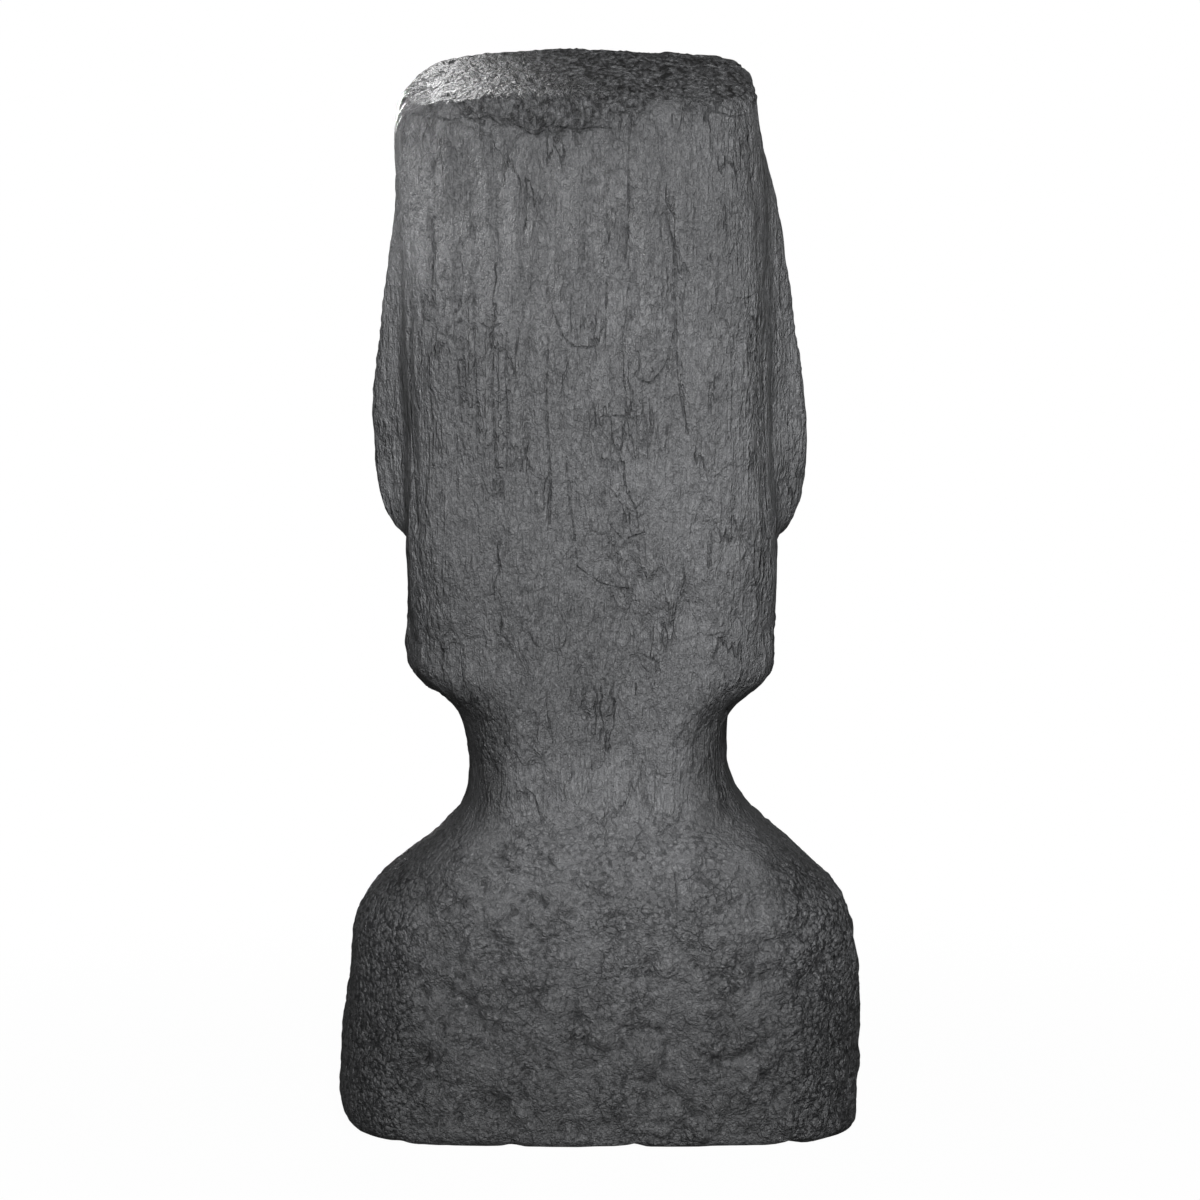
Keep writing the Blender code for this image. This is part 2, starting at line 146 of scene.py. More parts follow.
def stretched(tree, vector, x=1.0, y=1.0, z=1.0):
    # each factor is a number or a node's socket
    factors = addNode(tree, "ShaderNodeCombineXYZ", X=x, Y=y, Z=z).outputs[0]
    return vectorCalc(tree, "MULTIPLY", vector, factors)


def swing(tree, noise, height):
    # noise runs about 0.5; this makes it run about 0 by that height
    return times(tree, calc(tree, "SUBTRACT", noise, 0.5), 2.0, height)


def bend(tree, place, scale, cells, amount, detail=3.0):
    # the place, pushed about by a noise, by that share of a cell
    noise = noiseAt(tree, place, scale, detail, 0.6, color=True)
    push = vectorCalc(tree, "SUBTRACT", noise, (0.5, 0.5, 0.5))
    return vectorCalc(tree, "ADD", place, scaled(tree, push, calc(tree, "DIVIDE", 2.0 * amount, cells)))


def newTree(name, sizes):
    # a geometry tree with one float input for each named size
    tree = bpy.data.node_groups.new(name, "GeometryNodeTree")
    tree.interface.new_socket("Geometry", in_out="INPUT", socket_type="NodeSocketGeometry")
    tree.interface.new_socket("Geometry", in_out="OUTPUT", socket_type="NodeSocketGeometry")
    for size, value in sizes.items():
        socket = tree.interface.new_socket(size, in_out="INPUT", socket_type="NodeSocketFloat")
        socket.default_value = value
    return tree, tree.nodes.new("NodeGroupInput"), tree.nodes.new("NodeGroupOutput")


def addTree(piece, tree, sizes):
    modifier = piece.modifiers.new(tree.name, "NODES")
    modifier.node_group = tree
    for item in tree.interface.items_tree:
        if item.name in sizes:
            modifier[item.identifier] = sizes[item.name]


def bakeDown(piece):
    # the evaluated shape becomes the piece's own plain mesh
    bpy.context.view_layer.update()
    graph = bpy.context.evaluated_depsgraph_get()
    shape = piece.evaluated_get(graph)
    mesh = bpy.data.meshes.new_from_object(shape, preserve_all_data_layers=True, depsgraph=graph)
    old = piece.data
    piece.modifiers.clear()
    piece.data = mesh
    bpy.data.meshes.remove(old)


# The figure's blank: the CAD solid, merged, rounded and remeshed finely

blank = {
    "mergeWithin": 0.00002,
    "roundings": 1,
    "meshSize": 0.0030,
    "mostTriangles": 197000,   # after carving
}


def figureBlank(node):
    piece = bpy.data.objects.new("moaiSkin", node.data.copy())
    bpy.context.scene.collection.objects.link(piece)
    piece.data.materials.clear()
    weld = piece.modifiers.new("weld", "WELD")
    weld.merge_threshold = blank["mergeWithin"]
    rounding = piece.modifiers.new("rounding", "SUBSURF")
    rounding.levels = rounding.render_levels = blank["roundings"]
    remesh = piece.modifiers.new("remesh", "REMESH")
    remesh.mode = "VOXEL"
    remesh.voxel_size = blank["meshSize"]
    bakeDown(piece)
    return piece


# Marks on the back, listed as lines of (X, Z) points

marks = {
    # long strokes of a comb or a chisel, running down the back of the head
    "grooves": [
        [(0.146, 0.880), (0.147, 0.830), (0.149, 0.780), (0.150, 0.752)],
        [(0.094, 0.728), (0.096, 0.680), (0.094, 0.640), (0.093, 0.602)],
        [(0.083, 0.730), (0.084, 0.690), (0.082, 0.650), (0.083, 0.610)],
        [(0.046, 0.725), (0.048, 0.660), (0.044, 0.600), (0.045, 0.560)],
        [(-0.026, 0.910), (-0.025, 0.875), (-0.026, 0.840), (-0.022, 0.790)],
        [(-0.058, 0.835), (-0.067, 0.800), (-0.066, 0.760), (-0.069, 0.690), (-0.078, 0.640)],
        [(-0.132, 0.915), (-0.134, 0.880), (-0.137, 0.850)],
        [(0.131, 0.780), (0.128, 0.730), (0.125, 0.680), (0.123, 0.650)],
        [(0.125, 0.775), (0.122, 0.720), (0.119, 0.665)],
        [(0.112, 0.760), (0.111, 0.700), (0.108, 0.640)],
        # where the ears meet the back of the head
        [(0.170, 0.760), (0.171, 0.700), (0.170, 0.643),
         (0.167, 0.600), (0.164, 0.560), (0.162, 0.520)],
        [(-0.146, 0.705), (-0.148, 0.660), (-0.149, 0.610), (-0.151, 0.570)],
        [(-0.142, 0.680), (-0.143, 0.640), (-0.149, 0.612)],
    ],
    # cracks and folds
    "cracks": [
        [(0.005, 0.665), (0.004, 0.645)],
        [(0.004, 0.655), (-0.015, 0.656), (-0.036, 0.652)],
        [(0.042, 0.750), (0.034, 0.728), (0.026, 0.718),
         (0.010, 0.716), (-0.005, 0.722), (-0.006, 0.780)],
        [(-0.033, 0.716), (-0.036, 0.700), (-0.030, 0.690),
         (-0.045, 0.684), (-0.058, 0.700), (-0.066, 0.730)],
        [(0.110, 0.740), (0.098, 0.733), (0.088, 0.738)],
        [(-0.008, 0.560), (-0.020, 0.545), (-0.030, 0.548), (-0.040, 0.552)],
        [(0.024, 0.560), (0.020, 0.520), (-0.002, 0.505), (-0.030, 0.500)],
        [(0.030, 0.620), (0.028, 0.590), (0.024, 0.560), (0.022, 0.535)],
        [(-0.064, 0.922), (-0.064, 0.912)],
        [(-0.067, 0.250), (-0.069, 0.225), (-0.068, 0.200)],
        # the ragged foot of the crown
        [(0.168, 0.924), (0.150, 0.922), (0.136, 0.917), (0.118, 0.920), (0.104, 0.913)],
        [(0.098, 0.920), (0.088, 0.913), (0.074, 0.914), (0.063, 0.906), (0.055, 0.904), (0.048, 0.909)],
        [(0.040, 0.912), (0.020, 0.909), (0.004, 0.911), (-0.012, 0.910)],
        [(-0.100, 0.926), (-0.118, 0.921), (-0.130, 0.924)],
    ],
    # low raised folds
    "ridges": [
        [(0.100, 0.122), (0.088, 0.116), (0.070, 0.106)],
        [(0.105, 0.132), (0.092, 0.129)],
        [(-0.064, 0.265), (-0.066, 0.230), (-0.066, 0.205)],
    ],
}


def markLines(name, lines):
    # the lines lie flat at Y = 0, and the relief reads how far off each point of the skin is
    mesh = bpy.data.meshes.new(name)
    points, edges = [], []
    for line in lines:
        first = len(points)
        points += [(x, 0.0, z) for x, z in line]
        edges += [(i, i + 1) for i in range(first, len(points) - 1)]
    mesh.from_pydata(points, edges, [])
    helper = bpy.data.objects.new(name, mesh)
    bpy.context.scene.collection.objects.link(helper)
    helper.hide_render = True
    return helper


# The relief: everything a hand, a tool and a rough mould left on the skin

relief = {
    "lumpHeight": 0.0040,      # slow swells, 60 to 90 mm apart
    "lumpsPerMetre": 12.0,
    "strokeHeight": 0.0034,    # combed strokes down the head
    "strokesPerMetre": 62.0,
    "strokeStretch": 0.10,
    "strokeWander": 0.03,
    "strokeWandersPerMetre": 9.0,
    "strokesOnBark": 0.40,     # how much of them the lower head's bark keeps
    "crumpleHeight": 0.0066,   # crumpled skin, lumps about 30 mm across
    "crumplesPerMetre": 34.0,
    "knobHeight": 0.0041,      # the same, smaller
    "knobsPerMetre": 88.0,
    "patchesPerMetre": 14.0,   # both are stronger in patches
    "bigOnHead": 0.34,         # how much of each the head keeps, and its bark
    "bigOnBark": 0.60,
    "smallOnHead": 0.38,
    "smallOnBark": 0.80,
    "crownGrain": 0.0023,      # rough mortar on the crown
    "crownGrainsPerMetre": 125.0,
    "crownFoldHeight": 0.0050, # the smeared foot of the crown
    "crownFoldsPerMetre": 34.0,
    "grooveWidth": 0.0050,     # the drawn marks
    "grooveDepth": 0.0026,
    "grooveBreaksPerMetre": 40.0,
    "foldHeight": 0.0030,
    "plainerFront": 0.70,      # how much of the relief the unseen front keeps
    "calmerSides": 0.36,       # how much of the crumpling the torso's sides keep
    "headSides": 0.60,         # and the head's
}

# where one kind of skin gives way to the next, in metres
borders = {
    "headFoot": (0.24, 0.34),  # from the torso's relief to the head's
    "wander": 0.04,            # how far that border strays
    "wandersPerMetre": 16.0,
    "barkFoot": (0.22, 0.32),  # bark lies on the lower head
    "barkTop": (0.62, 0.48),
    "headPress": 0.50,         # lumps on the head stand twice as tall as wide
}

crown = {
    "highestY": -0.072,        # where its plane is highest, in Y
    "slope": 0.287,            # how much it falls towards the back
    "backY": 0.130,            # its back edge
    "reach": 0.007,            # how far its skin reaches down the walls
    "edge": (0.008, -0.003),   # where that skin gives way to the wall's
    "smear": 0.016,            # how much further where it is smeared
    "smearStart": (-0.035, 0.020),
    "smearEnd": (0.125, 0.095),
    "wander": 0.030,           # how ragged that edge is
    "wandersPerMetre": 26.0,
    "drawnLong": 0.42,         # seen at a low angle, its grain is drawn long to look round
    "bendsPerMetre": 90.0,
    "bentCellsPerMetre": 110.0,
}


def upright(tree, place, head):
    # the place with its height pressed on the head; the border's own height stays, so the two meet evenly
    foot, top = borders["headFoot"]
    fromBorder = vectorCalc(tree, "SUBTRACT", place, (0.0, 0.0, 0.5 * (foot + top)))
    return stretched(tree, fromBorder, z=byShare(tree, head, 1.0, borders["headPress"]))


def bentFor(tree, place, perMetre):
    # bent as the relief's lumps are, so that their edges can be found again
    return bend(tree, place, times(tree, perMetre, 0.9), perMetre, 0.55)


def headAndCrown(tree, place):
    # how much of the head and of the crown each point of the skin is
    split = addNode(tree, "ShaderNodeSeparateXYZ", Vector=place).outputs
    slow = noiseAt(tree, place, borders["wandersPerMetre"], 2.0)
    level = calc(tree, "ADD", split[2], swing(tree, slow, borders["wander"]))
    head = fade(tree, level, *borders["headFoot"])
    behind = calc(tree, "SUBTRACT", split[1], crown["highestY"])
    top = calc(tree, "MULTIPLY_ADD", behind, -crown["slope"], 1.0)
    below = calc(tree, "SUBTRACT", top, split[2])
    ragged = swing(tree, noiseAt(tree, place, crown["wandersPerMetre"], 4.0, 0.65), crown["wander"])
    smeared = band(tree, split[0], crown["smearEnd"], crown["smearStart"])
    reach = calc(tree, "MULTIPLY_ADD", smeared, crown["smear"], crown["reach"])
    under = calc(tree, "SUBTRACT", calc(tree, "ADD", below, ragged), reach)
    return split, head, fade(tree, under, *crown["edge"])


def reliefTree(helpers):
    tree, sizes, end = newTree("carvedRelief", relief)
    size = sizes.outputs
    place = tree.nodes.new("GeometryNodeInputPosition").outputs[0]
    facing = tree.nodes.new("GeometryNodeInputNormal").outputs[0]
    turn = addNode(tree, "ShaderNodeSeparateXYZ", Vector=facing).outputs
    split, head, crownShare = headAndCrown(tree, place)
    bark = band(tree, split[2], borders["barkFoot"], borders["barkTop"])
    fromBehind = fade(tree, turn[1], 0.15, 0.55)
    keep = fade(tree, turn[1], -0.1, -0.6, 1.0, size["plainerFront"])

    lumps = swing(tree, noiseAt(tree, place, size["lumpsPerMetre"], 2.0, 0.45), size["lumpHeight"])

    # strokes run down the head, and give way to bark on its lower part
    wander = noiseAt(tree, place, size["strokeWandersPerMetre"], 1.0, color=True)
    wander = stretched(tree, wander, size["strokeWander"], size["strokeWander"], 0.0)
    streaked = stretched(tree, vectorCalc(tree, "ADD", place, wander), z=size["strokeStretch"])
    strokeNoise = noiseAt(tree, streaked, size["strokesPerMetre"], 3.0, 0.55)
    strokeShare = calc(tree, "MULTIPLY", head, byShare(tree, bark, 1.0, size["strokesOnBark"]))
    strokes = times(tree, swing(tree, strokeNoise, size["strokeHeight"]), strokeShare)

    # crumpled skin: upright on the head, round on the torso, and calmer round the sides
    leaning = upright(tree, place, head)

    def crumpled(perMetre):
        # rounded lumps that meet in creases, bent out of shape by a noise
        off, chance = cellsAt(tree, bentFor(tree, leaning, perMetre), perMetre)
        dome = times(tree, calc(tree, "SUBTRACT", 0.45, off), byShare(tree, chance, 0.4, 1.6))
        swell = noiseAt(tree, leaning, times(tree, perMetre, 0.6), 3.0, 0.6)
        return calc(tree, "ADD", dome, swing(tree, swell, 0.7))

    patchy = fade(tree, noiseAt(tree, place, size["patchesPerMetre"], 2.0), 0.36, 0.62, 0.45, 1.35)
    calm = byShare(tree, head, size["calmerSides"], size["headSides"])
    side = fade(tree, calc(tree, "ABSOLUTE", turn[1]), 0.30, 0.80, calm, 1.0)
    bigOnHead = byShare(tree, bark, size["bigOnHead"], size["bigOnBark"])
    smallOnHead = byShare(tree, bark, size["smallOnHead"], size["smallOnBark"])
    big = times(tree, crumpled(size["crumplesPerMetre"]), byShare(tree, head, 1.0, bigOnHead))
    small = times(tree, crumpled(size["knobsPerMetre"]), byShare(tree, head, 1.0, smallOnHead))
    crumples = times(tree, big, size["crumpleHeight"], patchy, side)
    knobs = times(tree, small, size["knobHeight"], patchy, side)

    # the crown is stippled like rough mortar, and its foot is smeared over the wall
    drawnLong = stretched(tree, place, y=crown["drawnLong"])
    bentLong = bend(tree, drawnLong, crown["bendsPerMetre"], crown["bentCellsPerMetre"], 0.5)
    grainOff, grainChance = cellsAt(tree, bentLong, size["crownGrainsPerMetre"])
    grain = calc(tree, "SUBTRACT", 0.45, grainOff)
    grains = times(tree, grain, crownShare, size["crownGrain"], byShare(tree, grainChance, 0.3, 1.7))
    atFoot = times(tree, crownShare, rest(tree, crownShare), 4.0)
    folded = noiseAt(tree, place, size["crownFoldsPerMetre"], 3.0, 0.55)
    smear = times(tree, swing(tree, folded, size["crownFoldHeight"]), atFoot)

    # grooves and folds drawn along the listed lines on the back
    drawn = {}
    for name in ("grooves", "ridges"):
        near = nearMark(tree, helpers[name], place)
        line = fade(tree, near.outputs["Distance"], 0.0, size["grooveWidth"], 1.0, 0.0)
        drawn[name] = times(tree, line, fromBehind)
    broken = fade(tree, noiseAt(tree, place, size["grooveBreaksPerMetre"], 2.0), 0.40, 0.56, 0.15, 1.0)
    grooves = times(tree, drawn["grooves"], broken, size["grooveDepth"], -1.0)
    folds = times(tree, drawn["ridges"], size["foldHeight"])

    carved = times(tree, total(tree, [strokes, crumples, knobs]), rest(tree, crownShare), keep)
    sharp = total(tree, [carved, grains, smear, grooves, folds])

    # the underside stays flat, so the figure stands as the solid does
    height = times(tree, total(tree, [sharp, lumps]), fade(tree, split[2], 0.0005, 0.012))

    # how far each point stands above or below its surroundings, in millimetres
    blurred = addNode(tree, "GeometryNodeBlurAttribute", {"data_type": "FLOAT"}, Iterations=6)
    tree.links.new(sharp, blurred.inputs["Value"])
    raised = times(tree, calc(tree, "SUBTRACT", sharp, blurred.outputs["Value"]), 1000.0)
    stored = storeValue(tree, sizes.outputs["Geometry"], "raised", raised)
    moved = addNode(tree, "GeometryNodeSetPosition", Offset=scaled(tree, facing, height))
    tree.links.new(stored, moved.inputs["Geometry"])
    tree.links.new(moved.outputs[0], end.inputs[0])
    return tree


markWander = {"reach": 0.007, "perMetre": 70.0}


def nearMark(tree, helper, place):
    # the nearest point of the drawn lines, measured flat in X and Z with a little wander
    noise = noiseAt(tree, place, markWander["perMetre"], 2.0, color=True)
    jitter = vectorCalc(tree, "SUBTRACT", noise, (0.5, 0.5, 0.5))
    reach = markWander["reach"]
    wandered = vectorCalc(tree, "ADD", place, stretched(tree, jitter, reach, 0.0, reach))
    info = addNode(tree, "GeometryNodeObjectInfo", {"transform_space": "ORIGINAL"}, Object=helper)
    near = addNode(tree, "GeometryNodeProximity", {"target_element": "EDGES"})
    tree.links.new(info.outputs["Geometry"], near.inputs[0])
    setInput(tree, near.inputs["Sample Position"], stretched(tree, wandered, y=0.0))
    return near


def storeValue(tree, geometry, name, value, kind="FLOAT"):
    store = addNode(tree, "GeometryNodeStoreNamedAttribute", {"data_type": kind, "domain": "POINT"})
    store.inputs["Name"].default_value = name
    tree.links.new(geometry, store.inputs["Geometry"])
    tree.links.new(value, store.inputs["Value"])
    return store.outputs[0]


# how light each part of the skin is beside the plain grey, left and right as the photo shows them
# past the slow clouds and the lighter nape, these are painted light and shade
tonesAndShade = {
    "cloudsPerMetre": 9.0,
    "clouds": (0.90, 1.10),    # slow clouds, darkest and lightest
    "neckSides": 0.45,         # painted shade beside the neck
    "nape": 1.22,
    "baseMiddle": 0.69,        # painted shade, darker towards the base
    "baseEnds": 0.62,
    # painted shade on the head's top, lighter below it
    "headMiddle": 1.08,
    "headTop": 0.88,
    # painted light on the right, painted shade on the left
    "right": 1.06,
    "left": 0.90,
    # painted shade on the lower head, towards its left
    "lowerHead": 0.88,
    # painted light in the shaded strip by the left ear
    "leftEar": 1.28,
    # painted shade on the shoulder slopes
    "shoulderSlopes": 0.72,
}


def toneAndShadeOf(tree, place, split):
    across, height = split[0], split[2]
    aside = calc(tree, "ABSOLUTE", across)
    besideNeck = fade(tree, aside, 0.060, 0.108)
    neckSides = times(tree, besideNeck, band(tree, height, (0.250, 0.320), (0.440, 0.375)))
    nape = times(tree, band(tree, height, (0.215, 0.260), (0.370, 0.310)), fade(tree, besideNeck, 1.0, 0.0))
    baseTone = fade(tree, aside, 0.110, 0.225, tonesAndShade["baseMiddle"], tonesAndShade["baseEnds"])
    towardLeft = fade(tree, across, -0.160, 0.100)
    lowerHead = times(tree, towardLeft, band(tree, height, (0.330, 0.380), (0.640, 0.540)))
    leftEar = times(tree, fade(tree, across, 0.148, 0.166), band(tree, height, (0.44, 0.50), (0.86, 0.78)))
    farOut = fade(tree, aside, 0.120, 0.165)
    slopes = times(tree, farOut, band(tree, height, (0.200, 0.235), (0.340, 0.300)))
    # past the slow clouds and the lighter nape: painted shade beside the neck, towards the base, on the
    # head's top, its left and lower left and the shoulder slopes; painted light on the right and by the
    # left ear
    return times(
        tree,
        fade(tree, noiseAt(tree, place, tonesAndShade["cloudsPerMetre"], 4.0, 0.6), 0.3, 0.7, *tonesAndShade["clouds"]),
        byShare(tree, neckSides, 1.0, tonesAndShade["neckSides"]),
        byShare(tree, fade(tree, height, 0.235, 0.060), 1.0, baseTone),
        fade(tree, height, 0.700, 0.880, tonesAndShade["headMiddle"], tonesAndShade["headTop"]),
        fade(tree, across, -0.12, 0.16, tonesAndShade["right"], tonesAndShade["left"]),
        byShare(tree, lowerHead, 1.0, tonesAndShade["lowerHead"]),
        byShare(tree, leftEar, 1.0, tonesAndShade["leftEar"]),
        byShare(tree, slopes, 1.0, tonesAndShade["shoulderSlopes"]),
        byShare(tree, nape, 1.0, tonesAndShade["nape"]),
    )


def paintTree(helpers, finish):
    # after thinning: what the finish reads from the skin, and the finish itself
    tree, sizes, end = newTree("markedSkin", {})
    place = tree.nodes.new("GeometryNodeInputPosition").outputs[0]
    facing = tree.nodes.new("GeometryNodeInputNormal").outputs[0]
    turn = addNode(tree, "ShaderNodeSeparateXYZ", Vector=facing).outputs
    split, head, crownShare = headAndCrown(tree, place)
    leaning = upright(tree, place, head)
    # crumbs come in patches, and everywhere at the torso's sides
    crumbPatches = noiseAt(tree, leaning, coat["crumbPatchesPerMetre"], 3.0, 0.6)
    crackPatches = noiseAt(tree, leaning, coat["crackPatchesPerMetre"], 3.0, 0.6)
    patches = fade(tree, crumbPatches, 0.38, 0.60, 0.45, 1.0)
    torsoSide = times(tree, fade(tree, calc(tree, "ABSOLUTE", split[0]), 0.12, 0.19), rest(tree, head))
    patches = calc(tree, "MAXIMUM", patches, times(tree, torsoSide, 1.4))
    values = {
        "crownShare": crownShare,
        "headShare": head,
        "fromBehind": fade(tree, turn[1], 0.1, 0.5),
        "toneAndShade": toneAndShadeOf(tree, place, split),
        "crumblePatch": patches,
        "crackPatch": fade(tree, crackPatches, 0.44, 0.60),
    }
    stored = sizes.outputs["Geometry"]
    for name, value in values.items():
        stored = storeValue(tree, stored, name, value)
    fromBackEdge = vectorCalc(tree, "SUBTRACT", leaning, (0.0, crown["backY"], 0.0))
    drawnLong = stretched(tree, fromBackEdge, y=byShare(tree, crownShare, 1.0, crown["drawnLong"]))
    vectors = {
        "leaning": drawnLong,
        "bentBig": bentFor(tree, leaning, relief["crumplesPerMetre"]),
        "bentSmall": bentFor(tree, leaning, relief["knobsPerMetre"]),
        "bentCoarse": bend(tree, drawnLong, 0.8 * coat["knobsPerMetre"], coat["knobsPerMetre"], 1.0),
    }
    for name, vector in vectors.items():
        stored = storeValue(tree, stored, name, vector, "FLOAT_VECTOR")
    flat = stretched(tree, place, y=0.0)
    for name in ("grooves", "cracks"):
        near = nearMark(tree, helpers[name], place)
        # the way to the line, not its length, so that it passes evenly through zero on the line
        way = vectorCalc(tree, "SUBTRACT", near.outputs["Position"], flat)
        stored = storeValue(tree, stored, "to" + name.capitalize(), way, "FLOAT_VECTOR")
    smooth = addNode(tree, "GeometryNodeSetShadeSmooth")
    tree.links.new(stored, smooth.inputs[0])
    real = addNode(tree, "GeometryNodeRealizeInstances")
    tree.links.new(smooth.outputs[0], real.inputs[0])
    coated = addNode(tree, "GeometryNodeSetMaterial", Material=finish)
    tree.links.new(real.outputs[0], coated.inputs["Geometry"])
    tree.links.new(coated.outputs[0], end.inputs[0])
    return tree


# The finish: dark slate grey, satin, with painted shade in its creases and lighter on worn crests

coat = {
    "grey": (0.152, 0.154, 0.159, 1.0),
    "creaseShadeGrey": (0.036, 0.037, 0.039, 1.0),
    "crestGrey": (0.190, 0.192, 0.196, 1.0),
    "roughness": 0.36,
    "grainRoughness": 0.22,    # how much the grain adds
    "crownRoughness": -0.06,
    "crevicesPerMetre": 34.0,
    "creviceWidth": 0.029,     # in the noise whose middle level they follow
    "lumpEdge": 0.058,         # width of the creases round the lumps, in cells
    "wrinklesPerMetre": 170.0,
    "crumbsPerMetre": 230.0,
    "knobsPerMetre": 115.0,
    "crumbPatchesPerMetre": 22.0,
    "crackPatchesPerMetre": 26.0,
    "hairsPerMetre": 300.0,
    "grainsPerMetre": 700.0,
    "markWidth": 0.0013,
    "grooveStrength": 0.75,
    "crackStrength": 0.80,
    # how dark the painted shade in each is, on the torso and on the head
    "crevices": (0.45, 0.95),
    "bigCreases": (0.85, 0.50),
    "smallCreases": (0.75, 0.24),
    "hollows": (1.0, 0.38),
    "gaps": (1.0, 0.6),
    # the crown beside the wall: its back edge, and its top from the photo's right to its left
    "crownEdge": 0.95,
    # painted sheen: the crown's top lighter on its right
    "crownTopSheen": (1.14, 0.96),
    # the share of each in the fine relief, and that relief's height in metres
    "bumps": {
        "crumbs": 0.24,
        "knobs": 0.14,
        "rough": 0.38,
        "wrinkles": 0.16,
        "hairs": 0.35,
        "grain": 0.19,
        "cut": -0.36,
    },
    "crownBumps": 2.0,
    "bumpDepth": 0.0044,
}


def slateCoat():
    material = bpy.data.materials.new("slateGreyCast")
    material.use_nodes = True
    tree = material.node_tree
    shader = tree.nodes["Principled BSDF"]
    place = tree.nodes.new("ShaderNodeTexCoord").outputs["Object"]
    across = addNode(tree, "ShaderNodeSeparateXYZ", Vector=place).outputs[0]

    def own(name, output="Fac"):
        return addNode(tree, "ShaderNodeAttribute", {"attribute_name": name}).outputs[output]

    raised = own("raised")
    crownShare = own("crownShare")
    head = own("headShare")
    fromBehind = own("fromBehind")
    toneAndShade = own("toneAndShade")
    patch = own("crumblePatch")
    crackPatch = own("crackPatch")
    leaning = own("leaning", "Vector")

    def blend(share, first, second):
        node = addNode(tree, "ShaderNodeMix", {"data_type": "RGBA"})
        for socket, value in ((0, share), (6, first), (7, second)):
            setInput(tree, node.inputs[socket], value)
        return node.outputs[2]

    def crumbs(bent, scale):
        # rounded crumbs with creases between them: 1 on top, 0 in the crease
        return fade(tree, cellsAt(tree, bent, scale)[0], 0.10, 0.80, 1.0, 0.0)

    fineScale = coat["crumbsPerMetre"]
    fine = crumbs(bend(tree, leaning, 0.8 * fineScale, fineScale, 0.5, 1.0), fineScale)
    coarse = crumbs(own("bentCoarse", "Vector"), coat["knobsPerMetre"])
    rough = noiseAt(tree, leaning, coat["crumbsPerMetre"] * 0.6, 4.0, 0.65)
    grain = noiseAt(tree, place, coat["grainsPerMetre"], 1.0, 0.6)
    combed = noiseAt(tree, stretched(tree, place, z=0.06), coat["hairsPerMetre"], 2.0, 0.6)
    hairs = times(tree, swing(tree, combed, 1.0), head)

    # thin ragged crevices follow the middle level of a noise, upright on the head
    grown = stretched(tree, leaning, z=byShare(tree, head, 1.0, borders["headPress"]))

    def offMiddle(at, scale, detail, roughness):
        noise = noiseAt(tree, at, scale, detail, roughness)
        return calc(tree, "ABSOLUTE", calc(tree, "SUBTRACT", noise, 0.5))

    breadth = times(tree, fade(tree, rough, 0.36, 0.60, 0.25, 1.0), coat["creviceWidth"])
    offCrevice = calc(tree, "DIVIDE", offMiddle(grown, coat["crevicesPerMetre"], 4.0, 0.55), breadth)
    crevices = fade(tree, offCrevice, 0.25, 1.0, 1.0, 0.0)
    crevices = times(tree, crevices, byShare(tree, head, *coat["crevices"]))

    def creases(bent, perMetre):
        # the edges of the same bent cells that the relief raised as lumps
        off = cellEdges(tree, own(bent, "Vector"), perMetre)
        width = times(tree, fade(tree, rough, 0.38, 0.62, 0.15, 1.0), coat["lumpEdge"])
        return fade(tree, calc(tree, "DIVIDE", off, width), 0.2, 1.0, 1.0, 0.0)

    bigCreases = times(
        tree,
        creases("bentBig", relief["crumplesPerMetre"]),
        byShare(tree, head, *coat["bigCreases"]),
    )
    smallCreases = times(
        tree,
        creases("bentSmall", relief["knobsPerMetre"]),
        patch,
        byShare(tree, head, *coat["smallCreases"]),
    )
    crevices = calc(tree, "MAXIMUM", crevices, calc(tree, "MAXIMUM", bigCreases, smallCreases))
    crevices = times(tree, crevices, crackPatch, rest(tree, crownShare))
    wrinkles = fade(tree, offMiddle(leaning, coat["wrinklesPerMetre"], 3.0, 0.6), 0.0, 0.10)

    ragged = fade(tree, rough, 0.35, 0.65, 0.25, 1.25)
    markEdge = times(tree, ragged, coat["markWidth"])
    lines = []
    for name, strength in (("toGrooves", coat["grooveStrength"]), ("toCracks", coat["crackStrength"])):
        off = calc(tree, "DIVIDE", lengthOf(tree, own(name, "Vector")), markEdge)
        lines.append(times(tree, fade(tree, off, 0.3, 1.6, strength, 0.0), fromBehind))
    cut = calc(tree, "MAXIMUM", crevices, calc(tree, "MAXIMUM", *lines))

    # colour: painted shade in the creases, hollows, cracks and grooves, crests worn lighter, fine grain
    # over all
    fineGaps = fade(tree, fine, 0.34, 0.02, 0.0, 0.8)
    coarseGaps = fade(tree, coarse, 0.30, 0.02, 0.0, 0.35)
    gaps = calc(tree, "MAXIMUM", fineGaps, coarseGaps)
    gaps = times(tree, gaps, patch, byShare(tree, head, *coat["gaps"]))
    gaps = calc(tree, "MAXIMUM", gaps, fade(tree, wrinkles, 0.0, 0.30, 0.22, 0.0))
    hollowShade = times(tree, fade(tree, raised, -0.2, -1.5, 0.0, 0.8), byShare(tree, head, *coat["hollows"]))
    creaseShade = calc(tree, "MAXIMUM", calc(tree, "MAXIMUM", hollowShade, times(tree, cut, 0.9)), gaps)
    crest = fade(tree, raised, 0.10, 1.2, 0.0, 0.5)
    colour = blend(crest, coat["grey"], coat["crestGrey"])
    colour = blend(creaseShade, colour, coat["creaseShadeGrey"])
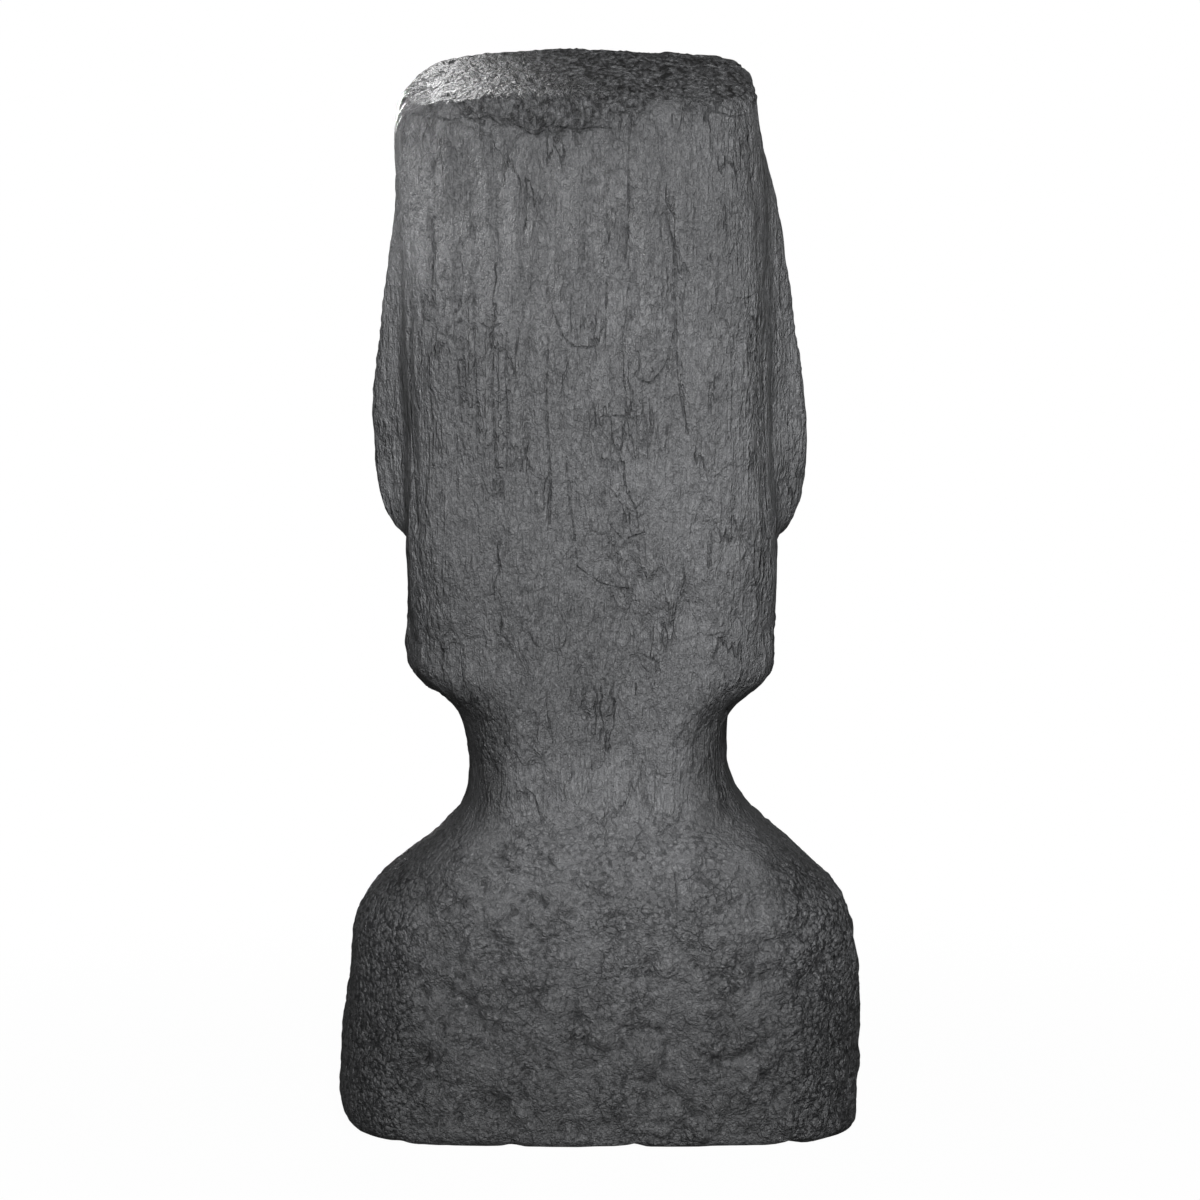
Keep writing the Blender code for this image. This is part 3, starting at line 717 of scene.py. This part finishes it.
    # the crown's top is painted lighter on its right, as a sheen; the crown is gritty, its back edge less
    # so, and its grain tops are painted light and their gaps dark, as glints and shade
    crownTopSheen = fade(tree, across, -0.12, 0.04, *coat["crownTopSheen"])
    crownTone = byShare(tree, fromBehind, crownTopSheen, coat["crownEdge"])
    gritAndGlints = times(tree, crownShare, byShare(tree, fromBehind, 1.0, 0.4))
    speckleAndGlints = total(tree, [
        0.95,
        times(tree, calc(tree, "SUBTRACT", grain, 0.5), byShare(tree, gritAndGlints, 0.95, 1.8)),
        times(tree, calc(tree, "SUBTRACT", rough, 0.5), byShare(tree, gritAndGlints, 0.20, 1.6)),
        times(tree, calc(tree, "SUBTRACT", fine, 0.45), gritAndGlints, 2.0),
        times(tree, calc(tree, "SUBTRACT", coarse, 0.45), gritAndGlints, 1.6),
    ])
    toneAndShade = times(tree, toneAndShade, speckleAndGlints, byShare(tree, crownShare, 1.0, crownTone))
    tree.links.new(scaled(tree, colour, toneAndShade), shader.inputs["Base Color"])

    gloss = total(tree, [
        coat["roughness"],
        times(tree, grain, coat["grainRoughness"]),
        times(tree, crownShare, coat["crownRoughness"]),
    ])
    tree.links.new(gloss, shader.inputs["Roughness"])

    bumps = {
        "crumbs": times(tree, fine, calc(tree, "MAXIMUM", patch, crownShare)),
        "knobs": times(tree, coarse, patch),
        "rough": rough,
        "wrinkles": wrinkles,
        "hairs": hairs,
        "grain": grain,
        "cut": cut,
    }
    fineHeight = total(tree, [times(tree, height, coat["bumps"][name]) for name, height in bumps.items()])
    fineHeight = times(tree, fineHeight, byShare(tree, crownShare, 1.0, coat["crownBumps"]))
    bump = addNode(tree, "ShaderNodeBump", Strength=1.0, Distance=coat["bumpDepth"], Height=fineHeight)
    tree.links.new(bump.outputs[0], shader.inputs["Normal"])
    return material


# Build the figure

skin = figureBlank(frame["nodes"]["moai_figure"])
print("blank:", len(skin.data.polygons), "faces")

helpers = {name: markLines(name, lines) for name, lines in marks.items()}
addTree(skin, reliefTree(helpers), relief)
thin = skin.modifiers.new("thin", "DECIMATE")
thin.ratio = min(1.0, blank["mostTriangles"] / (2 * len(skin.data.polygons)))
addTree(skin, paintTree(helpers, slateCoat()), {})
bakeDown(skin)
for helper in helpers.values():
    bpy.data.objects.remove(helper)
print("carved skin:", len(skin.data.polygons), "faces")

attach(skin, "root")
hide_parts("moai_figure")


# Floor, light and camera

studio = {
    "floorSize": 30.0,
    "floorGrey": 0.18,         # what the floor throws back on the figure
    "floorSeen": 0.9,          # what the eye sees of it, apart from its white
    "nearWhite": 0.975,        # how white it looks by the figure; it is the backdrop's white further out
    "whiteFrom": (0.30, 1.2),
    "endLight": 0.12,          # light of the backdrop before and behind the figure, and at its sides
    "sideLight": 0.055,
}

# place, aim, size in metres, power in watts, spread in degrees
lamps = {
    "keyLight": ((-0.08, 2.60, 1.65), (0, 0.15, 0.55), (0.55, 0.50), 28.5, 110),
    "faceLight": ((0.08, -2.60, 0.42), (0, 0, 0.60), (0.5, 0.4), 20.0, 180),
    # small lamps for the sheen on the crown's left and along the head's edges
    "crownLight": ((0.27, -0.52, 1.34), (0.195, 0.06, 0.955), (0.10, 0.10), 0.064, 28),
    "edgeLight": ((1.00, 0.18, 1.25), (0.21, 0.12, 0.88), (0.10, 0.10), 0.09, 14),
    "cornerLight": ((0.50, -1.20, 1.14), (0.20, 0.02, 0.955), (0.10, 0.06), 0.04, 10),
    "rimLight": ((-1.7, -1.2, 1.3), (-0.15, 0.0, 0.92), (0.3, 0.4), 0.02, 16),
}

photoView = {"place": (0.0, 3.02, 0.71), "downward": 4.36, "lens": 96.45}


def paleFloor():
    half = studio["floorSize"] / 2
    mesh = bpy.data.meshes.new("paleFloor")
    corners = [(-half, -half, 0), (half, -half, 0), (half, half, 0), (-half, half, 0)]
    mesh.from_pydata(corners, [], [(0, 1, 2, 3)])
    floor = bpy.data.objects.new("paleFloor", mesh)
    bpy.context.scene.collection.objects.link(floor)
    material = bpy.data.materials.new("paleFloor")
    material.use_nodes = True
    tree = material.node_tree
    shader = tree.nodes["Principled BSDF"]
    eye = tree.nodes.new("ShaderNodeLightPath").outputs["Is Camera Ray"]
    grey = fade(tree, eye, 0.0, 1.0, studio["floorGrey"], studio["floorSeen"])
    tree.links.new(grey, shader.inputs["Base Color"])
    shader.inputs["Roughness"].default_value = 0.9
    shader.inputs["Specular IOR Level"].default_value = 0.1
    # seen by eye, the floor turns to the white of the backdrop away from the figure
    place = tree.nodes.new("ShaderNodeTexCoord").outputs["Object"]
    white = fade(tree, lengthOf(tree, place), *studio["whiteFrom"], studio["nearWhite"], 1.0)
    glow = addNode(tree, "ShaderNodeEmission", Color=(1, 1, 1, 1), Strength=1.0)
    mix = addNode(tree, "ShaderNodeMixShader")
    setInput(tree, mix.inputs[0], times(tree, eye, white))
    tree.links.new(shader.outputs[0], mix.inputs[1])
    tree.links.new(glow.outputs[0], mix.inputs[2])
    tree.links.new(mix.outputs[0], tree.nodes["Material Output"].inputs["Surface"])
    mesh.materials.append(material)


def softLight(name, place, aim, size, power, spread):
    light = bpy.data.lights.new(name, "AREA")
    light.shape = "RECTANGLE"
    light.size, light.size_y = size
    light.energy = power
    light.spread = math.radians(spread)
    lamp = bpy.data.objects.new(name, light)
    lamp.location = place
    lamp.rotation_euler = (Vector(aim) - Vector(place)).to_track_quat("-Z", "Y").to_euler()
    lamp.visible_camera = False
    bpy.context.scene.collection.objects.link(lamp)


def studioWorld():
    world = bpy.data.worlds.new("studio")
    bpy.context.scene.world = world
    world.use_nodes = True
    tree = world.node_tree
    tree.nodes.clear()
    # the backdrop is white to the eye; what lights the figure is dimmer at its two sides
    direction = tree.nodes.new("ShaderNodeTexCoord").outputs["Generated"]
    across = addNode(tree, "ShaderNodeSeparateXYZ", Vector=direction).outputs[0]
    level = fade(tree, calc(tree, "ABSOLUTE", across), 0.25, 0.85, studio["endLight"], studio["sideLight"])
    lit = addNode(tree, "ShaderNodeBackground", Color=(1, 1, 1, 1), Strength=level)
    seen = addNode(tree, "ShaderNodeBackground", Color=(1, 1, 1, 1), Strength=1.0)
    eye = tree.nodes.new("ShaderNodeLightPath").outputs["Is Camera Ray"]
    mix = addNode(tree, "ShaderNodeMixShader")
    tree.links.new(eye, mix.inputs[0])
    tree.links.new(lit.outputs[0], mix.inputs[1])
    tree.links.new(seen.outputs[0], mix.inputs[2])
    end = tree.nodes.new("ShaderNodeOutputWorld")
    tree.links.new(mix.outputs[0], end.inputs["Surface"])


def photoCamera():
    camera = bpy.data.cameras.new("photoCamera")
    camera.lens = photoView["lens"]
    camera.sensor_width = 36.0
    stand = bpy.data.objects.new("photoCamera", camera)
    stand.location = photoView["place"]
    stand.rotation_euler = (math.radians(90 - photoView["downward"]), 0, math.radians(180))
    bpy.context.scene.collection.objects.link(stand)
    bpy.context.scene.camera = stand


paleFloor()
studioWorld()
for name, lamp in lamps.items():
    softLight(name, *lamp)
photoCamera()
bpy.context.scene.view_settings.view_transform = "Standard"
print("floor, lights and camera placed")
